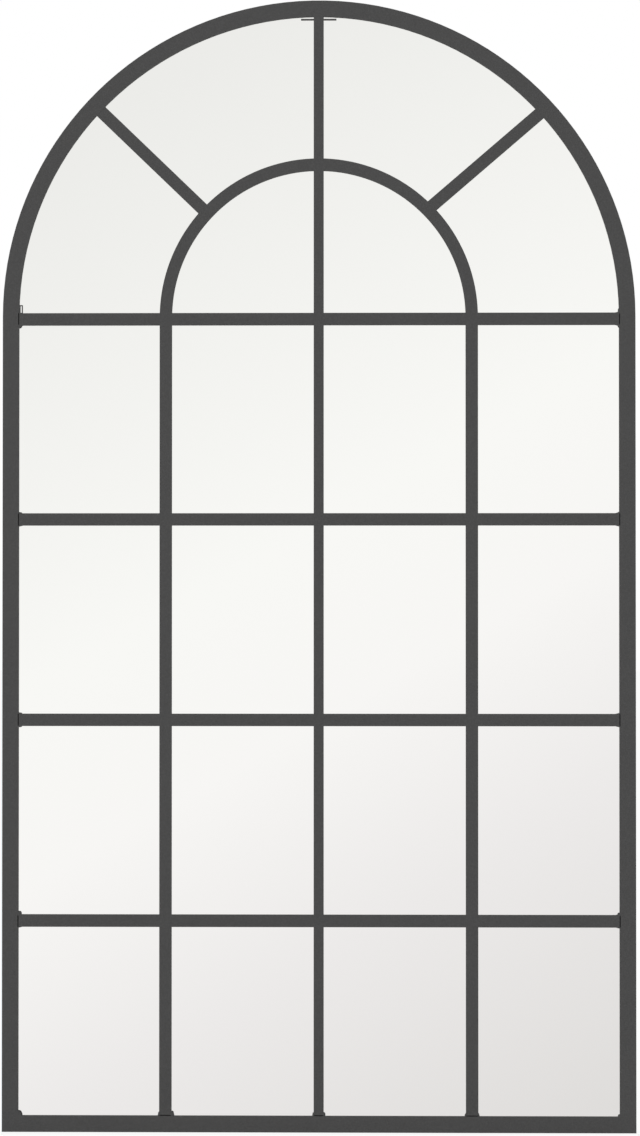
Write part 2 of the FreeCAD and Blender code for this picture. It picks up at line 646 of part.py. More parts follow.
def makeHangerPlate(name, side):
    """A steel plate welded inside the rim, with two corners cut and two rivet holes."""
    body = newBody(name)
    sketch = newSketch(body, titled(name) + "Outline", "XZ_Plane")
    edge = f"{side} * Derived.rimInside"
    tip = f"{side} * (Derived.rimInside - Sizes.plateWidth)"
    shy = f"{side} * (Derived.rimInside - Sizes.plateWidth + Sizes.plateChamfer)"
    foot, head = "Derived.plateFoot", "Derived.pivotHeight + Sizes.plateHead"
    drawOutline(sketch, [(edge, foot), (shy, foot), (tip, f"{foot} + Sizes.plateChamfer"),
                         (tip, f"{head} - Sizes.plateChamfer"), (shy, head), (edge, head)])
    for drop in rivetDrops:
        drawCircle(sketch, hangerPlace(side), f"Derived.pivotHeight - ({drop})", rivetBore)
    pad(body, sketch, "Sizes.plateThickness")
    place(body, depth="Derived.plateRear")
    finished(body)


def makeHangerStrap(name, side):
    """A steel strap folded round the D-ring's bar, with both leaves flat on the plate."""
    body = newBody(name)
    sketch = newSketch(body, titled(name) + "Profile", "YZ_Plane")
    meeting = "sqrt(Derived.curlOuter^2 - Derived.leafLift^2)"
    corners = [("-Derived.curlOuter", "-Sizes.strapLength"), ("-Derived.curlOuter", "0"),
               ("Derived.leafLift", f"-{meeting}"), ("Derived.leafLift", "-Sizes.strapLength")]
    drawOutline(sketch, corners, {1: (("0", "0"), "across", False)})
    drawCircle(sketch, "0", "0", "Derived.curlBore")
    pad(body, sketch, "Sizes.strapWidth", symmetric=True)
    holes = newSketch(body, titled(name) + "Holes", "XZ_Plane")
    for drop in rivetDrops:
        drawCircle(holes, "0", f"-({drop})", rivetBore)
    cutThrough(body, holes)
    place(body, hangerPlace(side), "Derived.pivotDepth", "Derived.pivotHeight")
    finished(body)


def makeDRing(name, side):
    """A bent and welded ring of round wire. It hangs from the curl and leans on the strap."""
    body = newBody(name)
    path = newSketch(body, titled(name) + "Path", "XZ_Plane")
    half, bend, arm = "Derived.ringHalf", "Sizes.ringCorner", "Sizes.ringArm"
    corners = [("0", "0"), (f"{half} - {bend}", "0"), (half, f"-{bend}"), (half, f"-{arm}"),
               (f"-{half}", f"-{arm}"), (f"-{half}", f"-{bend}"), (f"{bend} - {half}", "0")]
    drawOutline(path, corners, {
        1: ((f"{half} - {bend}", f"-{bend}"), "up", False),
        3: (("0", f"-{arm}"), "up", False),
        5: ((f"{bend} - {half}", f"-{bend}"), "up", False),
    })
    section = newSketch(body, titled(name) + "Wire", "YZ_Plane")
    drawCircle(section, "0", "0", "Derived.wireRadius")
    sweep = body.newObject("PartDesign::AdditivePipe", titled(name) + "Sweep")
    sweep.Profile = section
    sweep.Spine = (path, [])
    turn(body, (1, 0, 0), "Derived.ringTilt")
    place(body, hangerPlace(side), "Derived.pivotDepth", "Derived.pivotHeight")
    finished(body)


def makeHangerRivets():
    """Blind rivets through the straps and plates: a domed head behind, a clenched tail in front."""
    pattern = newBody("RivetPattern")
    sketch = newSketch(pattern, "RivetProfile", "XY_Plane")
    shank, head, tail = (f"Sizes.{size} / 2" for size in
                         ("rivetDiameter", "rivetHeadDiameter", "rivetTailDiameter"))
    seat, crown = "2 * Sizes.strapThickness", "Sizes.rivetHeadHeight"
    front = "-Sizes.plateThickness"
    dome = f"(({head})^2 + {crown}^2) / (2 * {crown})"
    corners = [("0", f"{front} - Sizes.rivetTailHeight"), (tail, f"{front} - Sizes.rivetTailHeight"),
               (tail, front), (shank, front), (shank, seat), (head, seat), ("0", f"{seat} + {crown}")]
    drawOutline(sketch, corners, {5: (("0", f"{seat} + {crown} - {dome}"), "across", True)})
    revolve(pattern, sketch, "V_Axis", 360)
    rivets = []
    for label, side in (("Left", -1), ("Right", 1)):
        for number, drop in enumerate(rivetDrops, start=1):
            rivet = document.addObject("App::Link", f"Rivet{label}{number}")
            rivet.LinkedObject = pattern
            place(rivet, hangerPlace(side), "Derived.plateRear", f"Derived.pivotHeight - ({drop})")
            rivets.append(rivet)
    group("hanger_rivets", rivets)


# ---- the whole mirror ----

makeFrameArch()
makeFrameStile("frame_stile_left", -1)
makeFrameStile("frame_stile_right", 1)
makeBottomRail()
for number in range(1, rowCount + 1):
    makeTransom(number)
for row in range(1, rowCount + 1):
    makeMullion("left_mullion", "-Derived.mullionOffset", "Sizes.barWidth", row)
    makeMullion("centre_mullion", "0", "Sizes.centreBarWidth", row)
    makeMullion("right_mullion", "Derived.mullionOffset", "Sizes.barWidth", row)
makeInnerArch()
makeCentreQuadrant()
makeFanBar("centre_mullion_fan", "Sizes.centreBarWidth", 1, "90", "90")
makeFanBar("spoke_left", "Sizes.barWidth", -1, "Sizes.leftSpokeInnerAngle", "Sizes.leftSpokeOuterAngle")
makeFanBar("spoke_right", "Sizes.barWidth", 1, "Sizes.rightSpokeInnerAngle", "Sizes.rightSpokeOuterAngle")
makeTopFootStrips()
makeSideFoot()
makeCornerWelds()
makeFrameTapes()
group("bar_tapes", barTapes)
makeArchedPanel("mirror_glass", "(Derived.rimInside - Sizes.glassClearance)",
                "Derived.glassBack", "Sizes.glassThickness")
makeSettingBlocks()
makeArchedPanel("backing_board", "(Derived.rimInside - Sizes.boardClearance)",
                "Derived.boardBack", "Sizes.boardThickness")
makeRetainingTabs()
for name, side in (("left", -1), ("right", 1)):
    makeHangerPlate(f"hanger_plate_{name}", side)
    makeHangerStrap(f"hanger_strap_{name}", side)
    makeDRing(f"d_ring_{name}", side)
makeHangerRivets()

document.recompute()

for item in document.Objects:
    if "Invalid" in item.State or "Error" in item.State:
        raise RuntimeError(f"{item.Label} failed: {item.State}")
for item in nodes:
    if item.Shape.isNull() or not item.Shape.isValid():
        raise RuntimeError(f"{item.Label} has no sound shape")

os.makedirs("parts", exist_ok=True)
for item in nodes:
    item.Shape.exportStep(f"parts/{item.Label}.step")
print(len(nodes), "sub-parts")
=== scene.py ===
import bpy
import json
import math
import numpy as np
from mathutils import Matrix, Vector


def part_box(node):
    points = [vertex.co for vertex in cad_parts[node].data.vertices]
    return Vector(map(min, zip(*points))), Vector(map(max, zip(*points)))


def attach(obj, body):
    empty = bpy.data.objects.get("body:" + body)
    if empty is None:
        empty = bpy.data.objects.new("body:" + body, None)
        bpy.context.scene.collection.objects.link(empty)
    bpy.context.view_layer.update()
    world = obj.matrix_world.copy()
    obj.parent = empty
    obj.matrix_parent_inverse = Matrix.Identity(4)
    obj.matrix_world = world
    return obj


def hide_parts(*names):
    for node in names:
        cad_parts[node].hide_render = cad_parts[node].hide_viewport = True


# Arched window mirror: a charcoal steel grille over one sheet of mirror glass, with its back and hangers.
# Metres. X to the viewer's right, Y into the wall, Z up. The wall is at Y = 0, the floor at Z = 0.

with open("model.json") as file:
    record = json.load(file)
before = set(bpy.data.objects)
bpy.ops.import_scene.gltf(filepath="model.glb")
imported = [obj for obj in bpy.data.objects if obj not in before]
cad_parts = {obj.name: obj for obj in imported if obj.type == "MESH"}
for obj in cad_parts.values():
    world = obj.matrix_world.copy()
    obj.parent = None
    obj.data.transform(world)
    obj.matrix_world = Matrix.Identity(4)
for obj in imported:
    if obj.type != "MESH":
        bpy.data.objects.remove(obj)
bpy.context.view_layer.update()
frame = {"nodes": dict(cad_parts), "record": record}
nodes = frame["nodes"]
print("frame loaded:", len(nodes), "nodes")

mm = 0.001


def srgb(code):
    # hex colour to linear, with the sRGB curve
    parts = np.array([int(code[i:i + 2], 16) for i in (1, 3, 5)]) / 255
    linear = np.where(parts <= 0.04045, parts / 12.92, ((parts + 0.055) / 1.055) ** 2.4)
    return (*linear.tolist(), 1.0)


def addNode(tree, kind, inputs=None, **settings):
    # inputs: a value for a socket, or an output socket to link to it
    node = tree.nodes.new(kind)
    for name, setting in settings.items():
        setattr(node, name, setting)
    for name, content in (inputs or {}).items():
        if isinstance(content, bpy.types.NodeSocket):
            tree.links.new(content, node.inputs[name])
        else:
            node.inputs[name].default_value = content
    return node


def newTree(item):
    item.use_nodes = True
    item.node_tree.nodes.clear()
    return item.node_tree


def combine(tree, first, second, operation="MULTIPLY"):
    # sockets or numbers: the product, the larger one, or whether the first is over or under the second
    return addNode(tree, "ShaderNodeMath", {0: first, 1: second}, operation=operation).outputs["Value"]


# the camera, fitted to the bars' edges in the photograph
camera = {
    "place": (0.06105, -4.52430, 0.83655),
    "yaw": -0.7508, "pitch": 0.6738, "roll": -0.0039,   # degrees: left of +Y, upwards, about the view
    "focal": 2850.73, "frameHeight": 1136,              # pixels of the photograph's frame
    "sensor": 36,
}

yaw, pitch, roll = (math.radians(camera[k]) for k in ("yaw", "pitch", "roll"))
cameraData = bpy.data.cameras.new("camera")
cameraData.sensor_width = camera["sensor"]
cameraData.lens = camera["sensor"] * camera["focal"] / camera["frameHeight"]
cameraData.clip_start, cameraData.clip_end = 0.05, 200
cameraObject = bpy.data.objects.new("camera", cameraData)
bpy.context.scene.collection.objects.link(cameraObject)
cameraObject.location = camera["place"]
cameraObject.rotation_euler = (math.pi / 2 + pitch, roll, -yaw)
bpy.context.scene.camera = cameraObject
print("camera set, lens", round(cameraData.lens, 2))

# the studio: a pale floor, plain light from all round, two soft lamps, and the room in the mirror
studio = {
    "ambient": 0.86,            # level of the plain light from all round
    "keyPlace": (-2.2, -6.2, 4.6), "keySize": 3.2, "keyPower": 95,
    "fillPlace": (2.4, 3.4, 4.2), "fillSize": 2.6, "fillPower": 60,
    "aim": (0, 0, 0.9),
    "floorHalf": 30.0, "floorLines": 7, "floorDrop": 0.5 * mm, "floorColour": "#f0f0ef",
    "floorLift": 0.87,          # share of plain white that the eye gets from the floor
}
# the room that the mirror shows is brightest in one slanting band, and darker down to the right. A stop is
# the direction's product with the slant, and the colour seen in the glass there
room = {
    "silver": "#f8f9f7",        # colour of the light that the mirror gives back
    "slant": (0.5, 0.0, -0.87), "reach": 0.25,
    "stops": ((-0.19, "#ecece9"), (-0.03, "#f8f8f5"), (0.03, "#f7f6f4"), (0.10, "#eceae9"),
              (0.205, "#dddbd9")),
}

scene = bpy.context.scene
scene.view_settings.view_transform = "Standard"

world = bpy.data.worlds.new("studio")
scene.world = world
tree = newTree(world)
direction = addNode(tree, "ShaderNodeTexCoord").outputs["Generated"]
slant = addNode(tree, "ShaderNodeVectorMath", {0: direction, 1: room["slant"]}, operation="DOT_PRODUCT")
spread = addNode(tree, "ShaderNodeMapRange", {
    "Value": slant.outputs["Value"], "From Min": -room["reach"], "From Max": room["reach"]})
gradient = addNode(tree, "ShaderNodeValToRGB", {"Fac": spread.outputs["Result"]})
ramp = gradient.color_ramp
while len(ramp.elements) < len(room["stops"]):
    ramp.elements.new(0.5)
for element, (place, colour) in zip(ramp.elements, room["stops"]):
    element.position = (place + room["reach"]) / (2 * room["reach"])
    element.color = [c / s for c, s in zip(srgb(colour)[:3], srgb(room["silver"]))] + [1]
rays = addNode(tree, "ShaderNodeLightPath")
shown = combine(tree, rays.outputs["Is Glossy Ray"], rays.outputs["Is Transmission Ray"], "MAXIMUM")
seen = addNode(tree, "ShaderNodeMix", {
    "Factor": rays.outputs["Is Camera Ray"], 6: gradient.outputs["Color"], 7: (1, 1, 1, 1)}, data_type="RGBA")
background = addNode(tree, "ShaderNodeBackground", {"Color": seen.outputs[2], "Strength": 1.0})
plain = addNode(tree, "ShaderNodeBackground", {"Color": (1, 1, 1, 1), "Strength": studio["ambient"]})
either = combine(tree, shown, rays.outputs["Is Camera Ray"], "MAXIMUM")
both = addNode(tree, "ShaderNodeMixShader", {
    0: either, 1: plain.outputs["Background"], 2: background.outputs["Background"]})
addNode(tree, "ShaderNodeOutputWorld", {"Surface": both.outputs["Shader"]})


def addLamp(name, place, size, power):
    # a square soft box, turned to the studio's aim
    data = bpy.data.lights.new(name, "AREA")
    data.shape, data.size, data.size_y, data.energy = "RECTANGLE", size, size, power
    lamp = bpy.data.objects.new(name, data)
    scene.collection.objects.link(lamp)
    heading = np.array(studio["aim"], float) - np.array(place, float)
    lamp.location = place
    lamp.rotation_euler = (math.atan2(np.hypot(*heading[:2]), -heading[2]), 0,
                           math.atan2(-heading[0], heading[1]))
    return lamp


key = addLamp("key_light", studio["keyPlace"], studio["keySize"], studio["keyPower"])
key.visible_glossy = False      # the mirror shows the room and not the lamp
addLamp("fill_light", studio["fillPlace"], studio["fillSize"], studio["fillPower"])


def makeFloorMaterial():
    # matte white studio floor: white to the eye, and it keeps the shadow; the mirror looks past it
    material = bpy.data.materials.new("studioFloor")
    tree = newTree(material)
    rays = addNode(tree, "ShaderNodeLightPath")
    matte = addNode(tree, "ShaderNodeBsdfDiffuse", {"Color": srgb(studio["floorColour"])})
    white = addNode(tree, "ShaderNodeEmission", {"Color": (1, 1, 1, 1), "Strength": 1.0})
    clear = addNode(tree, "ShaderNodeBsdfTransparent")
    lift = combine(tree, rays.outputs["Is Camera Ray"], studio["floorLift"])
    seen = addNode(tree, "ShaderNodeMixShader", {
        0: lift, 1: matte.outputs["BSDF"], 2: white.outputs["Emission"]})
    shown = combine(tree, rays.outputs["Is Glossy Ray"], rays.outputs["Is Transmission Ray"], "MAXIMUM")
    whole = addNode(tree, "ShaderNodeMixShader", {
        0: shown, 1: seen.outputs["Shader"], 2: clear.outputs["BSDF"]})
    addNode(tree, "ShaderNodeOutputMaterial", {"Surface": whole.outputs["Shader"]})
    return material


lines = np.linspace(-studio["floorHalf"], studio["floorHalf"], studio["floorLines"])
u, v = np.meshgrid(lines, lines)
corners = np.stack([u, v, np.full_like(u, -studio["floorDrop"])], axis=-1).reshape(-1, 3)
index = np.arange(u.size).reshape(u.shape)
quads = np.stack([index[:-1, :-1], index[:-1, 1:], index[1:, 1:], index[1:, :-1]], axis=-1).reshape(-1, 4)
floorMesh = bpy.data.meshes.new("studio_floor")
floorMesh.from_pydata(corners.tolist(), [], quads.tolist())
floorMesh.materials.append(makeFloorMaterial())
floor = bpy.data.objects.new("studio_floor", floorMesh)
scene.collection.objects.link(floor)
print("studio set")


# the materials, each on Object coordinates
def newMaterial(name):
    material = bpy.data.materials.new(name)
    tree = newTree(material)
    shader = addNode(tree, "ShaderNodeBsdfPrincipled")
    addNode(tree, "ShaderNodeOutputMaterial", {"Surface": shader.outputs["BSDF"]})
    place = addNode(tree, "ShaderNodeTexCoord").outputs["Object"]
    return material, tree, shader, place


def linkShader(tree, shader, sources):
    for name, source in sources.items():
        tree.links.new(source, shader.inputs[name])


def noise(tree, place, size, detail=2.0, roughness=0.5, distortion=0.0):
    # size: width of the pattern's patches, in metres
    return addNode(tree, "ShaderNodeTexNoise", {
        "Vector": place, "Scale": 1 / size, "Detail": detail, "Roughness": roughness,
        "Distortion": distortion}).outputs["Fac"]


def blendColour(tree, factor, low, high):
    low, high = (srgb(c) if isinstance(c, str) else c for c in (low, high))
    mix = addNode(tree, "ShaderNodeMix", {"Factor": factor, 6: low, 7: high}, data_type="RGBA")
    return mix.outputs[2]


def spanValue(tree, source, low, high, start=0.0, end=1.0):
    inputs = {"Value": source, "From Min": start, "From Max": end, "To Min": low, "To Max": high}
    return addNode(tree, "ShaderNodeMapRange", inputs).outputs["Result"]


def bumpNormal(tree, height, strength, depth, under=None):
    inputs = {"Height": height, "Strength": strength, "Distance": depth}
    if under is not None:
        inputs["Normal"] = under
    return addNode(tree, "ShaderNodeBump", inputs).outputs["Normal"]


def makePowderCoat():
    # polyester powder, sprayed on steel and baked: matte charcoal with a fine orange peel, and painted shade
    # in the open seams at the bars' ends: a near black colour and a low specular level stand in for the shade
    # there
    look = {
        "colour": "#393939", "light": "#3c3c3c", "grainHighlight": "#484848", "pitShade": "#2d2d2d", "roughness": 0.55,
        "peel": 4 * mm,         # real peel is about 1.5 mm across, drawn at 4 mm to show
        "cloud": 60 * mm,
        "grit": 1.5 * mm,       # fine grain of the coat, in colour and bump
        # painted shade: the near black colour painted on front-facing faces in the seams, between these two
        # depths
        "seam": "#141414", "seamTop": -24.6 * mm, "seamFloor": -23.3 * mm,
        "level": -0.9,          # a normal's Y below this faces the front
    }
    material, tree, shader, place = newMaterial("powderCoat")
    peel = noise(tree, place, look["peel"])
    cloud = noise(tree, place, look["cloud"], 3.0)
    grit = noise(tree, place, look["grit"])
    depth = addNode(tree, "ShaderNodeSeparateXYZ", {"Vector": place}).outputs["Y"]
    facing = addNode(tree, "ShaderNodeNewGeometry").outputs["Normal"]
    outwards = addNode(tree, "ShaderNodeSeparateXYZ", {"Vector": facing}).outputs["Y"]
    below = combine(tree, depth, look["seamTop"], "GREATER_THAN")
    above = combine(tree, depth, look["seamFloor"], "LESS_THAN")
    level = combine(tree, outwards, look["level"], "LESS_THAN")
    # the mask of the seams' front-facing floors, where shade is painted
    seam = combine(tree, combine(tree, below, above), level)
    tone = blendColour(tree, cloud, look["colour"], look["light"])
    # painted highlight on the grit's raised grains and painted shade in its pits, from the noise that also
    # makes their bump
    tone = blendColour(tree, spanValue(tree, grit, 0.0, 0.6, 0.5, 0.75), tone, look["grainHighlight"])
    tone = blendColour(tree, spanValue(tree, grit, 0.6, 0.0, 0.25, 0.5), tone, look["pitShade"])
    # painted shade in the seams
    tone = blendColour(tree, seam, tone, look["seam"])
    grain = bumpNormal(tree, grit, 0.5, 0.06 * mm)
    linkShader(tree, shader, {
        "Base Color": tone,
        "Roughness": spanValue(tree, peel, look["roughness"] - 0.08, look["roughness"] + 0.08),
        # painted shade: the specular level drops in the seams
        "Specular IOR Level": spanValue(tree, seam, 0.5, 0.1),
        "Normal": bumpNormal(tree, peel, 0.5, 0.16 * mm, under=grain)})
    return material


def makeMirrorGlass():
    # float glass silvered behind: a clean mirror in front, green ground edges, grey paint at the back
    look = {
        "edge": "#5f7f73", "edgeRoughness": 0.45, "mirrorRoughness": 0.008,
        "paint": "#77797a", "mottle": "#85878a", "curtain": 12 * mm,        # patches of the paint's coat
        "front": -22.4 * mm, "rear": -18.6 * mm,
    }
    material, tree, shader, place = newMaterial("mirrorGlass")
    depth = addNode(tree, "ShaderNodeSeparateXYZ", {"Vector": place}).outputs["Y"]
    front = combine(tree, depth, look["front"], "LESS_THAN")
    rear = combine(tree, depth, look["rear"], "GREATER_THAN")
    curtain = noise(tree, place, look["curtain"], 3.0)
    painted = blendColour(tree, curtain, look["paint"], look["mottle"])
    sides = blendColour(tree, front, look["edge"], room["silver"])
    linkShader(tree, shader, {
        "Base Color": blendColour(tree, rear, sides, painted),
        "Metallic": front,
        "Roughness": spanValue(tree, front, look["edgeRoughness"], look["mirrorRoughness"])})
    return material


def makeFoamTape():
    # closed-cell polyethylene foam on a roll: near black, dull, with small pits where cells are cut and
    # painted shade in them
    look = {
        "pitShade": "#151515", "skin": "#222222", "roughness": 0.9,
        "cell": 0.9 * mm,       # real cells are about 0.3 mm across, drawn at 0.9 mm so that they show
    }
    material, tree, shader, place = newMaterial("foamTape")
    voronoi = addNode(tree, "ShaderNodeTexVoronoi", {"Vector": place, "Scale": 1 / look["cell"]})
    cells = voronoi.outputs["Distance"]
    # painted shade: the colour darkens towards each cell's pit, where the bump is lowest
    skin = spanValue(tree, cells, 0.0, 1.0, 0.1, 0.7)
    linkShader(tree, shader, {
        "Base Color": blendColour(tree, skin, look["pitShade"], look["skin"]),
        "Normal": bumpNormal(tree, cells, 0.5, 0.15 * mm)})
    shader.inputs["Roughness"].default_value = look["roughness"]
    return material


def makeSettingRubber():
    # moulded EPDM block: black, with a soft low sheen and a slight bloom
    look = {"black": "#1b1b1b", "grey": "#292928", "bloom": 9 * mm, "grain": 1.2 * mm}
    material, tree, shader, place = newMaterial("settingRubber")
    bloom = noise(tree, place, look["bloom"], 4.0)
    grain = noise(tree, place, look["grain"])
    linkShader(tree, shader, {
        "Base Color": blendColour(tree, bloom, look["black"], look["grey"]),
        "Roughness": spanValue(tree, bloom, 0.6, 0.75),
        "Normal": bumpNormal(tree, grain, 0.3, 0.05 * mm)})
    return material


def makeHardboard():
    # wet-pressed wood fibre board: brown and matted, with the mark of the press's wire screen behind
    look = {
        "dark": "#64472f", "light": "#9a7550", "mean": "#7d5b3f", "hollowShade": "#4a3220",
        "screen": 5 * mm,       # a real screen has about 1.3 mm to a mesh, drawn at 5 mm so that it shows
        "fibre": 2.4 * mm,      # tufts of fibre, matted every way
        "patch": 45 * mm,       # uneven pulp and resin
    }
    material, tree, shader, place = newMaterial("hardboard")
    ribs = []
    for turned in (0.0, math.pi / 2):
        laid = addNode(tree, "ShaderNodeMapping", {"Vector": place, "Rotation": (0, turned, 0)})
        wave = addNode(tree, "ShaderNodeTexWave", {
            "Vector": laid.outputs["Vector"], "Scale": math.pi / 10 / look["screen"], "Distortion": 0.0},
            wave_type="BANDS", bands_direction="X")
        ribs.append(wave.outputs["Fac"])
    mesh = combine(tree, *ribs)
    fibres = noise(tree, place, look["fibre"], 6.0, 0.75, 0.4)
    patches = noise(tree, place, look["patch"], 5.0)
    tone = blendColour(tree, spanValue(tree, fibres, 0.0, 1.0, 0.36, 0.64), look["dark"], look["light"])
    tone = blendColour(tree, spanValue(tree, patches, 0.25, 0.65, 0.3, 0.7), tone, look["mean"])
    # painted shade: darker in the screen's hollows, where its bump is lowest
    tone = blendColour(tree, spanValue(tree, mesh, 0.24, 0.0, 0.0, 0.5), tone, look["hollowShade"])
    screened = bumpNormal(tree, mesh, 0.4, 0.25 * mm)
    linkShader(tree, shader, {
        "Base Color": tone,
        "Roughness": spanValue(tree, fibres, 0.78, 0.9),
        "Normal": bumpNormal(tree, fibres, 0.5, 0.2 * mm, under=screened)})
    return material


def makeZincPlate():
    # steel strip and wire, drawn and then zinc plated: bright, slightly blue, with cloudy passivation
    look = {
        "bright": "#c9ccce", "dull": "#b4b5b0", "roughness": 0.3, "cloud": 8 * mm,
        "line": 0.5 * mm, "stretch": (1.0, 1.0, 0.06),      # drawing lines up the strap, drawn wide to show
    }
    material, tree, shader, place = newMaterial("zincPlate")
    clouds = noise(tree, place, look["cloud"], 4.0)
    stretched = addNode(tree, "ShaderNodeMapping", {"Vector": place, "Scale": look["stretch"]})
    lines = noise(tree, stretched.outputs["Vector"], look["line"])
    linkShader(tree, shader, {
        "Base Color": blendColour(tree, clouds, look["bright"], look["dull"]),
        "Roughness": spanValue(tree, clouds, look["roughness"] - 0.06, look["roughness"] + 0.1),
        "Normal": bumpNormal(tree, lines, 0.2, 0.02 * mm)})
    shader.inputs["Metallic"].default_value = 1.0
    return material


def makeRivetSteel():
    # cold-headed rivet steel, plated, with faint scuffs from the setting tool
    look = {"dull": "#b3b4b3", "bright": "#cfd0cf", "scuff": 1.5 * mm}
    material, tree, shader, place = newMaterial("rivetSteel")
    scuffs = noise(tree, place, look["scuff"], 4.0)
    linkShader(tree, shader, {
        "Base Color": blendColour(tree, scuffs, look["dull"], look["bright"]),
        "Roughness": spanValue(tree, scuffs, 0.28, 0.42),
        "Normal": bumpNormal(tree, scuffs, 0.2, 0.03 * mm)})
    shader.inputs["Metallic"].default_value = 1.0
    return material


finishes = {
    "powder_coat": makePowderCoat(), "mirror_glass": makeMirrorGlass(), "foam_tape": makeFoamTape(),
    "setting_rubber": makeSettingRubber(), "hardboard": makeHardboard(), "zinc_steel": makeZincPlate(),
    "rivet_steel": makeRivetSteel(),
}
for part in frame["record"]["subparts"]:
    slots = nodes[part["node"]].data.materials
    slots.clear()
    slots.append(finishes[part["material_slot"]])
print("materials made:", len(finishes))


# the pieces that scene.py makes: rows of points carried along a path
def addPiece(name, grids, slot, replaced=None, sharpAngle=40):
    # each grid is rows x columns of points: a row runs round the section and closes on itself, the rows
    # follow the piece, and a middle point closes each end. A grid that came out inside out is turned
    points, faces, count = [], [], 0
    for grid in grids:
        rows, columns = grid.shape[:2]
        ends = np.stack([grid[0].mean(axis=0), grid[-1].mean(axis=0)])
        index = count + np.arange(rows * columns).reshape(rows, columns)
        after = np.roll(index, -1, axis=1)
        first, last = count + rows * columns, count + rows * columns + 1
        sides = np.stack([index[:-1], after[:-1], after[1:], index[1:]], axis=-1).reshape(-1, 4)
        starts = np.stack([after[0], index[0], np.full(columns, first)], axis=-1)
        stops = np.stack([index[-1], after[-1], np.full(columns, last)], axis=-1)
        cloud = np.concatenate([grid.reshape(-1, 3), ends])
        corners = np.concatenate([sides[:, [0, 1, 2]], sides[:, [0, 2, 3]], starts, stops]) - count
        a, b, c = (cloud[corners[:, k]] - cloud.mean(axis=0) for k in range(3))
        turned = np.einsum("ij,ij->i", a, np.cross(b, c)).sum() < 0
        faces += [face[::-1] if turned else face for part in (sides, starts, stops) for face in part.tolist()]
        points.append(cloud)
        count += len(cloud)
    mesh = bpy.data.meshes.new(name)
    mesh.from_pydata(np.concatenate(points).tolist(), [], faces)
    mesh.polygons.foreach_set("use_smooth", np.ones(len(mesh.polygons), bool))
    mesh.set_sharp_from_angle(angle=math.radians(sharpAngle))
    mesh.materials.append(finishes[slot])
    piece = bpy.data.objects.new(name, mesh)
    scene.collection.objects.link(piece)
    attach(piece, "mirror")
    if replaced:
        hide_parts(*replaced)
    return piece


def line(start, end, step):
    # points from start up to, but not with, end
    count = max(2, int(round(np.hypot(*(np.array(end) - start)) / step)))
    return np.linspace(start, end, count, endpoint=False)


def tip(end, inwards, corner, count=8):
    # rows at a strip's tip, at equal turns of its rounded corners: corner * (1 - cos(turn)) from the end
    turn = np.linspace(0, np.pi / 2, count)
    return np.array(end) + np.outer(corner * (1 - np.cos(turn)), inwards)


def tipWidths(path, halfWidth, corner):
    # half widths along a strip: full, and at both tips shrinking as the quarter circle of a corner does
    run = np.concatenate([[0], np.cumsum(np.linalg.norm(np.diff(path, axis=0), axis=1))])
    ends = np.minimum(run, run[-1] - run).clip(0, corner)
    return halfWidth - corner + np.sqrt(corner ** 2 - (corner - ends) ** 2)


def arc(centre, radius, start, end, count):
    # points on a circle between two angles in degrees, without the last one
    turn = np.radians(np.linspace(start, end, count, endpoint=False))
    return np.stack([centre[0] + radius * np.cos(turn), centre[1] + radius * np.sin(turn)], axis=-1)


def stripSection(halfWidth, halfThick, radius, across=14, perCorner=4):
    # a flat bar's section: a rectangle with its corners rounded, as (across, through), one row for each
    # half width given. A point is a corner of the inner rectangle, plus the radius times a direction
    spread = np.linspace(1, -1, across)
    runs = []
    for sign, corners in ((1, ((-1, 1, 90), (-1, -1, 180))), (-1, ((1, -1, 270), (1, 1, 0)))):
        flat = np.full(across, sign)
        runs.append(np.stack([sign * spread, flat, 0 * spread, flat])[:, 0 if sign > 0 else 1:])
        for side, face, start in corners:
            turn = np.radians(np.linspace(start, start + 90, perCorner))
            runs.append(np.stack([side + 0 * turn, face + 0 * turn, np.cos(turn), np.sin(turn)])[:, 1:])
    side, face, outX, outZ = np.concatenate(runs, axis=1)[:, :-1]
    wide = np.atleast_1d(halfWidth)[:, None]
    through = face * (halfThick - radius) + outZ * radius
    return np.stack([side * (wide - radius) + outX * radius, through + 0 * wide], axis=-1)


def sweepStrip(path, section, origin, along, outward, wide):
    # the section is carried along a flat path: each point is the path's point, plus the section's first
    # number along the width and its second along the path's normal
    heading = np.gradient(path, axis=0)
    heading /= np.linalg.norm(heading, axis=1, keepdims=True)
    normal = np.stack([-heading[:, 1], heading[:, 0]], axis=-1)
    flat = path[:, None, :] + section[..., 1:2] * normal[:, None, :]
    return (np.array(origin) + flat[..., 0:1] * np.array(along) + flat[..., 1:2] * np.array(outward)
            + section[..., 0:1] * np.array(wide))


# retaining tabs
tabs = {
    "width": 15 * mm, "thickness": 1.2 * mm, "reach": 14 * mm, "upstand": 9 * mm,
    "bend": 1.7 * mm,           # radius of the bend, at the middle of the sheet
    "tipCorner": 3.5 * mm, "edge": 0.3 * mm,
    "rimInside": 498 * mm, "railInside": 2 * mm, "clearance": 0.1 * mm,
    "perStile": 4, "onRail": 3, "onArch": 5,
    "step": 2 * mm, "weldStep": 0.6 * mm,       # from row to row, and closer where the spot weld is
    "weldAt": 5.6 * mm, "weldRadius": 1.7 * mm, "weldDepth": 0.3 * mm,     # spot weld on the upstand
}


